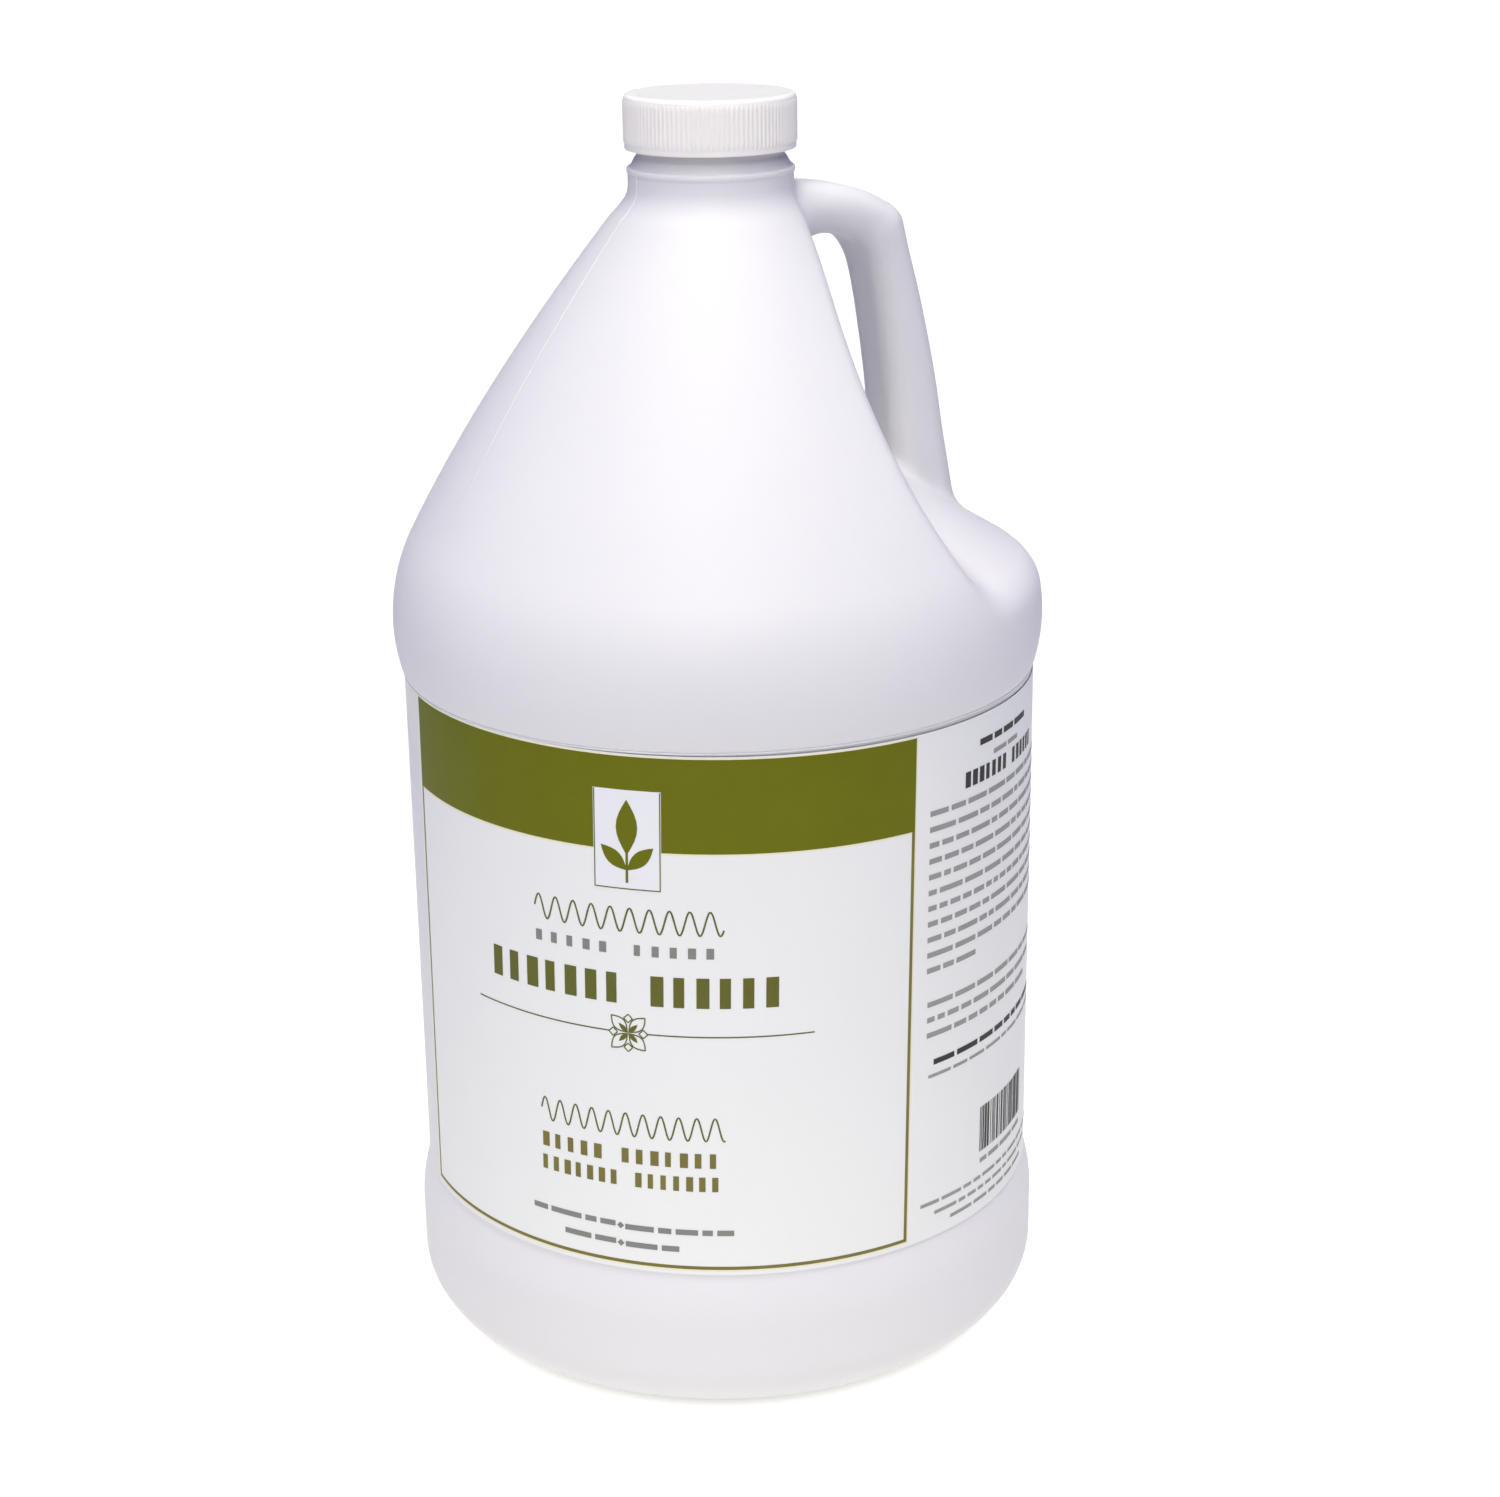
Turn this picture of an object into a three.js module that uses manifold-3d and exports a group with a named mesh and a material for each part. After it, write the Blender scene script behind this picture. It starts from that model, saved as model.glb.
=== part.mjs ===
// One-gallon round handle jug with a ribbed screw cap, a cap liner and a wraparound label.
//
// Frame: millimetres, +Z up. The origin is the middle of the base, on the jug's axis.
// The hollow handle lies in the XZ plane, on the +X side.
import * as THREE from 'three';
import { mergeVertices } from 'three/addons/utils/BufferGeometryUtils.js';
import Module from 'manifold-3d';

const wasm = await Module();
wasm.setup();

// ---- driving dimensions ------------------------------------------------------------------
const WALL = 1.2; // blow-moulded wall
const SIDES = 48; // facets round the jug; a multiple of 4, so the box is exact
const OUTER_FINENESS = 3; // divisions of each curve in the outlines
const INNER_FINENESS = 2;
const OVERRUN = 2; // how far a cutting solid runs past the face that it opens

// body
const BULGE_R = 78.4; // the two bumper rings that guard the label
const PANEL_R = 76.3; // label panel between them
const PANEL_BOTTOM = 36.6;
const PANEL_TOP = 166.2;
const LOWER_SWELL = 11.6; // height over which the lower bumper draws in to the panel
const UPPER_SWELL = 11.8;
const SWELL_KNEE = 0.6; // share of that height where the bumper stops being upright
const BASE_CORNER = 13.0; // radius of the base corner
const PUSH_UP = 3.5; // how far the middle of the base is pushed in
const RING_INNER_R = 52.0; // inner edge of the ring that the jug stands on
const PUSH_UP_R = 47.0;

// shoulder and cone
const SHOULDER_ARC = 45.0;
const SHOULDER_TURN = THREE.MathUtils.degToRad(27.5);
const CONE_TOP = new THREE.Vector2(23.5, 273.0);
const CONE_TOP_LEAN = THREE.MathUtils.degToRad(38.5);
const CONE_BLEND = 4.0; // height of the curve from the cone into the collar

// neck, a 38 mm screw finish
const COLLAR_R = 19.5; // plain collar under the ledge
const COLLAR_BOTTOM = 279.5;
const COLLAR_TOP = 283.8;
const BEAD = 0.7; // rounding of the collar's upper edge
const NECK_R = 17.0; // root of the screw thread
const LEDGE_TOP = 287.0;
const MOUTH_Z = 297.7;
const BORE_R = 15.0;
const BORE_START = 285.0;

// screw thread, right-handed, six turns to the inch
const PITCH = 25.4 / 6;
const THREAD_BASE = 2.0; // width where the thread meets its wall
const THREAD_CREST = 1.0;
const THREAD_TURNS = 1.2;
const THREAD_STEPS = 30;
const THREAD_ROOT = 0.35; // how far a thread is sunk into its wall
const THREAD_RUN_OUT = 0.1; // part of the length over which each end fades
const NECK_THREAD_CREST_R = 18.3;
const NECK_THREAD_START = 291.4; // middle of the thread at its lower end
const CAP_THREAD_CREST_R = 17.4;
const CAP_THREAD_DROP = PITCH / 2; // the cap's thread lies half a pitch under the neck's

// recess behind the handle
const RECESS_WALL_X = 18.5; // back wall at the parting plane
const RECESS_DRAFT = 0.12; // the wall falls back this much for each mm away from the plane
const RECESS_BEND_Z = 256.0; // the wall is straight above this height
const RECESS_BEND_R = 100.0; // and sweeps outwards below it on this radius
const RECESS_WALL_LOW = 184.0; // lowest height that the wall is drawn to
const RECESS_FLOOR_EDGE = new THREE.Vector2(77.0, 188.0); // radius and height of its outer edge
const RECESS_FLOOR_RISE = 0.6; // the floor rises towards the axis by this much for each mm
const RECESS_TOP_Z = 277.5;
const RECESS_HALF_WIDTH = 84.0;
const RECESS_REACH = 100.0;
const RECESS_FINENESS = 7; // divisions of the wall's curve

// handle
const HANDLE_DEPTH = 12.8;
const HANDLE_WIDTH = 19.0;
const HANDLE_ROUND = 5.0;
const HANDLE_WALL = 1.6;
const HANDLE_ROUTE = [ // middle line in the XZ plane, from the neck down to the shoulder
	[13.0, 271.8], [24.0, 272.3], [34.0, 271.5], [41.8, 268.4], [45.2, 262.0],
	[47.0, 253.0], [49.3, 241.5], [51.5, 229.5], [54.0, 214.0], [56.2, 201.0], [58.6, 187.0],
];
const HANDLE_STEPS = 20;
const HANDLE_FINENESS = 3; // divisions of each corner of the section

// cap
const CAP_R = 20.1; // over the ribs
const CAP_RIM_Z = 288.1;
const CAP_TOP_Z = 300.6;
const CAP_ROUND = 1.6;
const CAP_TOP_WALL = 1.3;
const CAP_ROOT_R = 18.8; // inside wall, root of the inner thread
const CAP_RIM_BAND = 2.2; // plain band under the ribs
const RIB_COUNT = 48;
const RIB_DEPTH = 0.35;
const CAP_RIM_DRAFT = 0.3; // the rim band draws in by this much at the rim
const CAP_FINENESS = 2; // divisions of the rounded edge

// liner: a foam disc held under the top of the cap
const LINER_R = 18.2;
const LINER_THICK = 1.0;
const GAP = 0.3; // clearance between pieces that touch on the real object

// label: one printed sheet, 229 x 127 mm, wrapped round the panel
const LABEL_THICK = 0.3;
const LABEL_BOTTOM = 38.0;
const LABEL_TOP = 165.0;
const LABEL_START = THREE.MathUtils.degToRad(-187.1); // azimuth of the label's left edge
const LABEL_SWEEP = THREE.MathUtils.degToRad(171.7);
const LABEL_STEPS = 36;

// ---- colours -----------------------------------------------------------------------------
const JUG_WHITE = new THREE.MeshStandardMaterial({ color: 0xf1f0f6, roughness: 0.45 });
const CAP_WHITE = new THREE.MeshStandardMaterial({ color: 0xf3efe8, roughness: 0.5 });
const LINER_FOAM = new THREE.MeshStandardMaterial({ color: 0xf6f6f2, roughness: 0.8 });
const LABEL_PAPER = new THREE.MeshStandardMaterial({ color: 0xe9e9e6, roughness: 0.4 });

// ---- solids ------------------------------------------------------------------------------
function toSolid(geometry) {
	geometry.deleteAttribute('normal');
	geometry.deleteAttribute('uv');
	const merged = mergeVertices(geometry, 1e-4);
	return new wasm.Manifold(new wasm.Mesh({
		numProp: 3,
		vertProperties: new Float32Array(merged.attributes.position.array),
		triVerts: new Uint32Array(merged.index.array),
	}));
}

function toGeometry(solid) {
	const mesh = solid.getMesh();
	const geometry = new THREE.BufferGeometry();
	geometry.setAttribute('position', new THREE.BufferAttribute(mesh.vertProperties, 3));
	geometry.setIndex(new THREE.BufferAttribute(mesh.triVerts, 1));
	geometry.computeVertexNormals();
	return geometry;
}

// Moves each vertex of a geometry by a function that takes and changes a Vector3.
function bend(geometry, move) {
	const places = geometry.attributes.position;
	const point = new THREE.Vector3();
	for (let i = 0; i < places.count; i += 1) {
		point.fromBufferAttribute(places, i);
		move(point);
		places.setXYZ(i, point.x, point.y, point.z);
	}
	return geometry;
}

// A solid turned about the Z axis from an outline of radius and height.
function turned(outline, sides = SIDES) {
	const lathe = new THREE.LatheGeometry(outline, sides);
	lathe.rotateX(Math.PI / 2);
	return toSolid(lathe);
}

// ---- jug ---------------------------------------------------------------------------------
// Outline of the jug below the neck, drawn `inset` inside the outer surface.
function bodyOutline(inset) {
	const path = new THREE.Path();
	const bumper = BULGE_R - inset;
	const panel = PANEL_R - inset;
	path.moveTo(0, PUSH_UP + inset);
	path.lineTo(PUSH_UP_R, PUSH_UP + inset);
	path.lineTo(RING_INNER_R, inset);
	path.lineTo(BULGE_R - BASE_CORNER, inset);
	path.absarc(BULGE_R - BASE_CORNER, BASE_CORNER, BASE_CORNER - inset, -Math.PI / 2, 0);
	path.lineTo(bumper, PANEL_BOTTOM - LOWER_SWELL);
	path.quadraticCurveTo(bumper, PANEL_BOTTOM - LOWER_SWELL * SWELL_KNEE, panel, PANEL_BOTTOM);
	path.lineTo(panel, PANEL_TOP);
	const shoulderZ = PANEL_TOP + UPPER_SWELL;
	path.quadraticCurveTo(bumper, PANEL_TOP + UPPER_SWELL * SWELL_KNEE, bumper, shoulderZ);
	const centre = BULGE_R - SHOULDER_ARC;
	path.absarc(centre, shoulderZ, SHOULDER_ARC - inset, 0, SHOULDER_TURN);

	// The cone bellies slightly: one bend between the lean at its foot and at its top.
	const foot = path.currentPoint.clone();
	const top = new THREE.Vector2(-Math.cos(CONE_TOP_LEAN), -Math.sin(CONE_TOP_LEAN))
		.multiplyScalar(inset).add(CONE_TOP);
	const up = new THREE.Vector2(-Math.sin(SHOULDER_TURN), Math.cos(SHOULDER_TURN));
	const down = new THREE.Vector2(Math.sin(CONE_TOP_LEAN), -Math.cos(CONE_TOP_LEAN));
	const span = top.clone().sub(foot);
	const reach = (span.x * down.y - span.y * down.x) / (up.x * down.y - up.y * down.x);
	const knee = foot.clone().addScaledVector(up, reach);
	path.quadraticCurveTo(knee.x, knee.y, top.x, top.y);
	return path;
}

function outerOutline() {
	const path = bodyOutline(0);
	path.quadraticCurveTo(COLLAR_R, CONE_TOP.y + CONE_BLEND, COLLAR_R, COLLAR_BOTTOM);
	path.lineTo(COLLAR_R, COLLAR_TOP - BEAD);
	path.quadraticCurveTo(COLLAR_R, COLLAR_TOP, COLLAR_R - BEAD, COLLAR_TOP + BEAD);
	path.lineTo(NECK_R, LEDGE_TOP);
	path.lineTo(NECK_R, MOUTH_Z);
	path.lineTo(0, MOUTH_Z);
	return path.getPoints(OUTER_FINENESS);
}

function innerOutline() {
	const path = bodyOutline(WALL);
	path.lineTo(COLLAR_R - WALL, COLLAR_BOTTOM);
	path.lineTo(BORE_R, BORE_START);
	path.lineTo(BORE_R, MOUTH_Z + OVERRUN);
	path.lineTo(0, MOUTH_Z + OVERRUN);
	return path.getPoints(INNER_FINENESS);
}

// The space behind the handle, drawn `grow` larger than the real recess. Its floor is a
// shallow cone about the jug's axis. Its back wall is extruded through the parting plane and
// then falls back from it, as a mould that opens to both sides needs.
function recess(grow) {
	const wall = RECESS_WALL_X - grow;
	const turn = Math.asin((RECESS_BEND_Z - RECESS_WALL_LOW) / RECESS_BEND_R);
	const outline = new THREE.Shape();
	outline.moveTo(RECESS_REACH, RECESS_TOP_Z + grow);
	outline.lineTo(wall, RECESS_TOP_Z + grow);
	outline.lineTo(wall, RECESS_BEND_Z);
	outline.absarc(wall + RECESS_BEND_R, RECESS_BEND_Z, RECESS_BEND_R, Math.PI, Math.PI + turn);
	outline.lineTo(RECESS_REACH, RECESS_WALL_LOW);
	const block = new THREE.ExtrudeGeometry(outline, {
		depth: 2 * RECESS_HALF_WIDTH,
		steps: 2,
		bevelEnabled: false,
		curveSegments: RECESS_FINENESS,
	});
	block.translate(0, 0, -RECESS_HALF_WIDTH);
	block.rotateX(Math.PI / 2);
	bend(block, (point) => {
		if (point.x < RECESS_REACH) point.x -= RECESS_DRAFT * Math.abs(point.y);
	});

	const floorAt = (radius) => RECESS_FLOOR_EDGE.y - grow
		+ RECESS_FLOOR_RISE * (RECESS_FLOOR_EDGE.x - radius);
	const above = [
		new THREE.Vector2(0, floorAt(0)),
		new THREE.Vector2(RECESS_REACH, floorAt(RECESS_REACH)),
		new THREE.Vector2(RECESS_REACH, MOUTH_Z),
		new THREE.Vector2(0, MOUTH_Z),
	];
	return toSolid(block).intersect(turned(above));
}

function roundedSection(width, depth, corner) {
	const x = width / 2 - corner;
	const y = depth / 2 - corner;
	const section = new THREE.Shape();
	section.absarc(x, y, corner, 0, Math.PI / 2);
	section.absarc(-x, y, corner, Math.PI / 2, Math.PI);
	section.absarc(-x, -y, corner, Math.PI, 1.5 * Math.PI);
	section.absarc(x, -y, corner, 1.5 * Math.PI, 2 * Math.PI);
	return section;
}

function handleTube(inset) {
	const route = new THREE.CatmullRomCurve3(
		HANDLE_ROUTE.map(([x, z]) => new THREE.Vector3(x, 0, z)), false, 'centripetal');
	const section = roundedSection(
		HANDLE_WIDTH - 2 * inset, HANDLE_DEPTH - 2 * inset, HANDLE_ROUND - inset);
	return toSolid(new THREE.ExtrudeGeometry(section, {
		extrudePath: route,
		steps: HANDLE_STEPS,
		curveSegments: HANDLE_FINENESS,
	}));
}

// ---- screw thread ------------------------------------------------------------------------
// A straight rib is extruded along Z and then wound round the axis: its X becomes the radius,
// its Y the height on the wall, and its length the turn. `wallR` is the wall that it stands
// on, and `crestR` is its crest, inside or outside that wall. It fades into the wall at both
// ends.
function thread(wallR, crestR, start) {
	const outward = Math.sign(crestR - wallR);
	const root = wallR - outward * THREAD_ROOT;
	const rib = new THREE.Shape([
		new THREE.Vector2(0, -THREAD_BASE / 2),
		new THREE.Vector2(1, -THREAD_CREST / 2),
		new THREE.Vector2(1, THREAD_CREST / 2),
		new THREE.Vector2(0, THREAD_BASE / 2),
	]);
	const strip = new THREE.ExtrudeGeometry(rib, {
		depth: 1,
		steps: THREAD_STEPS,
		bevelEnabled: false,
	});
	const winding = bend(strip, (point) => {
		const along = point.z;
		const fade = Math.min(1, along / THREAD_RUN_OUT, (1 - along) / THREAD_RUN_OUT);
		const low = THREAD_ROOT / 2;
		const height = low + (Math.abs(crestR - root) - low) * Math.max(0, fade);
		const radius = root + outward * height * point.x;
		const turn = 2 * Math.PI * THREAD_TURNS * along;
		const z = start + PITCH * THREAD_TURNS * along + point.y;
		point.set(radius * Math.cos(turn), radius * Math.sin(turn), z);
	});
	// Winding an outer rib turns its faces inside out, so they are turned back.
	return toSolid(outward > 0 ? flipped(winding) : winding);
}

function flipped(geometry) {
	const places = geometry.attributes.position;
	const a = new THREE.Vector3();
	const b = new THREE.Vector3();
	for (let i = 0; i < places.count; i += 3) {
		a.fromBufferAttribute(places, i);
		b.fromBufferAttribute(places, i + 1);
		places.setXYZ(i, b.x, b.y, b.z);
		places.setXYZ(i + 1, a.x, a.y, a.z);
	}
	return geometry;
}

function jugBody() {
	const outside = turned(outerOutline())
		.subtract(recess(0))
		.add(handleTube(0))
		.add(thread(NECK_R, NECK_THREAD_CREST_R, NECK_THREAD_START));
	const inside = turned(innerOutline())
		.subtract(recess(WALL))
		.add(handleTube(HANDLE_WALL));
	return new THREE.Mesh(toGeometry(outside.subtract(inside)), JUG_WHITE);
}

// ---- cap ---------------------------------------------------------------------------------
// The cap's skin as a star of ribs, from just above the rim band up to the rounded edge.
function ribbedDisc(bottom, top) {
	const star = new THREE.Shape();
	const points = [];
	for (let i = 0; i < 2 * RIB_COUNT; i += 1) {
		const turn = (Math.PI * i) / RIB_COUNT;
		const radius = i % 2 === 0 ? CAP_R : CAP_R - RIB_DEPTH;
		points.push(new THREE.Vector2(radius * Math.cos(turn), radius * Math.sin(turn)));
	}
	star.setFromPoints(points);
	const disc = new THREE.ExtrudeGeometry(star, { depth: top - bottom, bevelEnabled: false });
	disc.translate(0, 0, bottom);
	return toSolid(disc);
}

function screwCap() {
	const plainR = CAP_R - RIB_DEPTH;
	const skin = new THREE.Path();
	skin.moveTo(0, CAP_RIM_Z);
	skin.lineTo(plainR - CAP_RIM_DRAFT, CAP_RIM_Z);
	skin.lineTo(plainR, CAP_RIM_Z + CAP_RIM_BAND);
	skin.lineTo(plainR, CAP_TOP_Z - CAP_ROUND);
	skin.absarc(plainR - CAP_ROUND, CAP_TOP_Z - CAP_ROUND, CAP_ROUND, 0, Math.PI / 2);
	skin.lineTo(0, CAP_TOP_Z);
	const hollow = [
		new THREE.Vector2(0, CAP_RIM_Z - OVERRUN),
		new THREE.Vector2(CAP_ROOT_R, CAP_RIM_Z - OVERRUN),
		new THREE.Vector2(CAP_ROOT_R, CAP_TOP_Z - CAP_TOP_WALL),
		new THREE.Vector2(0, CAP_TOP_Z - CAP_TOP_WALL),
	];
	const threadStart = NECK_THREAD_START - CAP_THREAD_DROP;
	const cap = turned(skin.getPoints(CAP_FINENESS))
		.add(ribbedDisc(CAP_RIM_Z + CAP_RIM_BAND, CAP_TOP_Z - CAP_ROUND))
		.subtract(turned(hollow))
		.add(thread(CAP_ROOT_R, CAP_THREAD_CREST_R, threadStart));
	return new THREE.Mesh(toGeometry(cap), CAP_WHITE);
}

function capLiner() {
	const disc = new THREE.CylinderGeometry(LINER_R, LINER_R, LINER_THICK, SIDES);
	disc.rotateX(Math.PI / 2);
	const liner = new THREE.Mesh(disc, LINER_FOAM);
	liner.position.z = MOUTH_Z + GAP + LINER_THICK / 2;
	return liner;
}

// ---- label -------------------------------------------------------------------------------
// A flat sheet of paper, wrapped round the panel as it is put on the real jug.
function wrapLabel() {
	const inner = PANEL_R + GAP;
	const sheet = new THREE.BoxGeometry(1, LABEL_THICK, LABEL_TOP - LABEL_BOTTOM, LABEL_STEPS);
	sheet.rotateZ(Math.PI);
	bend(sheet, (point) => {
		const turn = LABEL_START + LABEL_SWEEP * (0.5 - point.x);
		const radius = inner + LABEL_THICK / 2 + point.y;
		point.x = radius * Math.cos(turn);
		point.y = radius * Math.sin(turn);
		point.z += (LABEL_TOP + LABEL_BOTTOM) / 2;
	});
	return new THREE.Mesh(sheet, LABEL_PAPER);
}

// ---- the object --------------------------------------------------------------------------
const pieces = {
	jug_body: jugBody(),
	screw_cap: screwCap(),
	cap_liner: capLiner(),
	wrap_label: wrapLabel(),
};

const jug = new THREE.Group();
for (const [name, mesh] of Object.entries(pieces)) {
	mesh.name = name;
	jug.add(mesh);
}

export default jug;
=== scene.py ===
"""Round one-gallon handle jug with a ribbed screw cap, a liner and a printed wraparound label.

Lengths are worked out in millimetres and turned into metres as each mesh is made.
The jug's axis is Z, its base stands on z = 0 and its handle lies in the XZ plane, on the +X side.
"""

import math
import random

import bmesh
import bpy
import numpy as np
from mathutils import Matrix, Vector
from mathutils.geometry import tessellate_polygon


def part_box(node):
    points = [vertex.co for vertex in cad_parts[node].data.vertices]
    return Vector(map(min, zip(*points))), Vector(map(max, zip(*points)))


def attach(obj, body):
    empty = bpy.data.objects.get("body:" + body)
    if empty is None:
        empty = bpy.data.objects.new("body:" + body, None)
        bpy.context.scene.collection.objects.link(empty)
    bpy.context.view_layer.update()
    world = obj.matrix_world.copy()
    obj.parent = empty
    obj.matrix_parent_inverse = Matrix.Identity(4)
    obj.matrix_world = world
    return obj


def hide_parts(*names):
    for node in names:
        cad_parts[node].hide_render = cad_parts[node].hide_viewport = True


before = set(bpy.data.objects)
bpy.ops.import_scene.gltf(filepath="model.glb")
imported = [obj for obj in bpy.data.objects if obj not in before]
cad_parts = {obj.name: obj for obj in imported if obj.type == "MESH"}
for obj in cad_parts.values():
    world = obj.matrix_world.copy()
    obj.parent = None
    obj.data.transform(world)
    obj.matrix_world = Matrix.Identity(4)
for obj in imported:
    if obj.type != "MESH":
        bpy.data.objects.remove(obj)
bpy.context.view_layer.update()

MM = 0.001

# ---- dimensions, in millimetres
SIDES = 256  # columns round the turned parts
WALL = 1.2

# body below the neck
BULGE_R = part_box("jug_body")[1].x / MM  # the bumper rings
PANEL_R = 76.3
PANEL_BOTTOM = 36.6
PANEL_TOP = 166.2
LOWER_SWELL = 11.6
UPPER_SWELL = 11.8
SWELL_KNEE = 0.6
PANEL_EASE = (0.12, 0.5)  # how far off and below the panel the lower swell ends
PANEL_EASE_TOP = 0.6
CREASE_LOW = 166.2  # foot of the fine ridge round the panel's top
CREASE_HEIGHT = 0.55
CREASE_RIDGE = 0.34  # how far it stands off the panel
CREASE_GROOVE = 0.14  # how far the groove above it does
CREASE_EDGE = 0.05
LIP_KNEE = 0.43  # the upper bumper's turned-in lip, off the panel
LIP_END = (0.75, 1.2)  # off the panel and above the groove
BASE_CORNER = 13.0
PUSH_UP = 3.5
PUSH_UP_R = 47.0
RING_INNER_R = 52.0
RING_BEND = 4.0  # reach of the bends between push-up and ring
SHOULDER_ARC = 45.0
SHOULDER_TURN = math.radians(27.5)
CONE_TOP = (23.5, 273.0)
CONE_TOP_LEAN = math.radians(38.5)
CONE_KNEE = 4.0  # height above the cone's top of the bend into the collar
TABLE_MARGIN = 12.0  # the table of radii goes this far past its ends

# neck
COLLAR_R = 19.5
COLLAR_BOTTOM = 279.5
COLLAR_TOP = 283.8
BEAD = 0.7
BEAD_FOOT = 0.8
BEAD_SIDE = 0.2
BEAD_LIFT = 0.15  # how far it rises above the collar's top
BEAD_END = 0.35  # and where it meets the slope to the ledge
COLLAR_WALL_R = 19.25  # just under the bead
NECK_R = 17.0
LEDGE_TOP = 287.0
LEDGE_OUT, LEDGE_DROP = 0.6, 0.9  # start of the bend into the neck's wall
LEDGE_KNEE, LEDGE_END = 0.4, 0.2
MOUTH_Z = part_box("jug_body")[1].z / MM
BORE_R = 15.0
BORE_START = 285.0
BORE_EASE = 1.5  # height of the bend under the bore
MOUTH_ROUND = 0.5

# screw thread
PITCH = 25.4 / 6
THREAD_TURNS = 1.2
THREAD_HALF = 1.0  # half its width at the root
THREAD_FLAT = 0.45  # half its width at the crest
THREAD_FADE = 0.06  # part of its length in which each end runs out
ON_WALL = 0.01  # a ring of points this near a wall's radius lies on the wall
NECK_THREAD_START = 291.4
NECK_THREAD_DEPTH = 1.3
CAP_THREAD_DEPTH = 1.4

# recess behind the handle
RECESS_WALL_X = 18.2
RECESS_DRAFT = 0.12
RECESS_BEND_Z = 256.0
RECESS_BEND_R = 100.0
RECESS_BEND_PART = 0.8  # the bend stops at this part of its radius
RECESS_EDGE_R = 77.0
RECESS_EDGE_Z = 189.2
RECESS_RISE = 0.6
RECESS_TOP_Z = 277.5
RECESS_TOP_ROUND = 3.0
RECESS_ROUND = 3.4  # rounding of the recess's rim
RECESS_CORNER = 5.0  # rounding between its wall and its floor

# handle
HANDLE_WIDTH = 19.0
HANDLE_DEPTH = 11.6  # at the top; it deepens below HANDLE_DEEPENS_Z
HANDLE_DEEPENS_Z = 256.0
HANDLE_DEEPENS = 0.08
HANDLE_ROUND = 5.6
HANDLE_BLEND_TOP = 12.0  # rounding where the handle joins the cone
HANDLE_BLEND_FOOT = 3.2  # rounding where it stands on the recess's floor
BLEND_RISE = (200.0, 50.0)  # height at which the first sets in, and its run
BLEND_END = (276.0, 8.0)  # height at which it has gone again, and its run
HANDLE_CORNER = 4.5  # rounding between its top bar and its grip
HANDLE_INWARD = 0.2  # part of the depth outside the corner where it sets in
HANDLE_OUTSIDE = 0.08  # the least part of it, on the corner's outside
HANDLE_REACH_Y = 22.0
HANDLE_TOP_BAR = [(12.0, 273.2), (22.0, 273.1), (31.0, 272.0), (37.5, 270.0), (42.6, 267.3)]
HANDLE_GRIP = [
    (43.2, 266.6), (44.7, 260.5), (46.4, 254.4), (49.0, 242.5), (51.2, 230.4), (53.4, 214.0),
    (55.3, 201.6), (57.6, 186.0),
]

# mesh of the part above the bumper
NET_LOW = PANEL_TOP + UPPER_SWELL
NET_HIGH = 282.0
NET_STEP = 1.35
INNER_NET_STEP = 2.4
NET_MARGIN = 3.0
NET_SIDE_MARGIN = 2.0
INNER_SIDES = 128
NECK_SIDES = 192
BAND = 0.6  # height of the bands of faces that join it to the turned parts
NECK_BAND = 0.5  # and of the one under the collar
SETTLE_ROUNDS = 6
SETTLE_PULLS = 3
SETTLE_EASE = 0.5
SETTLE_PROBE = 0.02
SETTLE_SLOPE = 0.05

# the mould's parting line
SEAM_LOW, SEAM_HIGH = 205.0, NET_HIGH + BAND
SEAM_ROWS = 150
SEAM_FADE = 30.0
SEAM_HALF = 0.42
SEAM_CREST = 0.45  # part of that half which its crest takes up
SEAM_RISE = 0.15
SEAM_LEAST = 0.01  # its rise where it fades out
SEAM_FOOT = 0.02
SEAM_SINK = 0.3  # depth of its underside in the wall

# cap and liner
CAP_LOW, CAP_HIGH = (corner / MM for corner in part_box("screw_cap"))
CAP_R = CAP_HIGH.x
CAP_ROUND = 1.15
CAP_RIM = 0.35  # rounding of its lower edge
CAP_BAND = 1.3  # plain band under the ribs
CAP_RIBS = 110
RIB_DEPTH = 0.26
RIB_COLUMNS = 5
RIB_END = 0.5  # height over which a rib runs out
RIB_POWER = 1.3  # above 1 it narrows the crests
CAP_DISH = 0.05  # how far the flat top is sunk
DISH_FROM, DISH_TO = 1.2, 2.4  # between these distances from the rounded edge
CAP_TOP_WALL = 1.3
CAP_ROOT_R = 18.8
CAP_CORNER = 0.8  # rounding inside, under the top
CAP_CHAMFER = 0.3  # inside the rim
CAP_FAN_R = 4.0  # a fan of faces closes its flat ends within this radius
LINER_FAN_R = 3.0
BASE_FAN_R = 2.0
LINER_ROUND = 0.25
LINER_SIDES = 128

# label
LABEL_START = math.radians(-187.1)  # azimuth of its left edge
SHEET_LEFT, SHEET_RIGHT = 1.3, 228.2  # its ends, along its length
LABEL_THICK = 0.12
LABEL_GAP = 0.12  # it stands this far off the panel
LABEL_LOW = 38.0
LABEL_HIGH = 166.0
LABEL_TILT = math.radians(0.55)  # it was put on slightly askew
LABEL_PIVOT = 70.0  # distance along it at which the tilt moves nothing
LABEL_LEAN = math.radians(0.95)  # lean of its uprights
LEAN_PIVOT = 131.0  # height at which the lean moves nothing
INK = 0.03  # thickness of each printed layer


# ---- meshes
def new_object(name, data):
    """An object in the scene for a mesh, a light or a camera."""
    made = bpy.data.objects.new(name, data)
    bpy.context.scene.collection.objects.link(made)
    return made


def mesh_object(name, mesh, materials, smooth):
    for material in materials:
        mesh.materials.append(material)
    mesh.polygons.foreach_set("use_smooth", [smooth] * len(mesh.polygons))
    return new_object(name, mesh)


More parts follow.
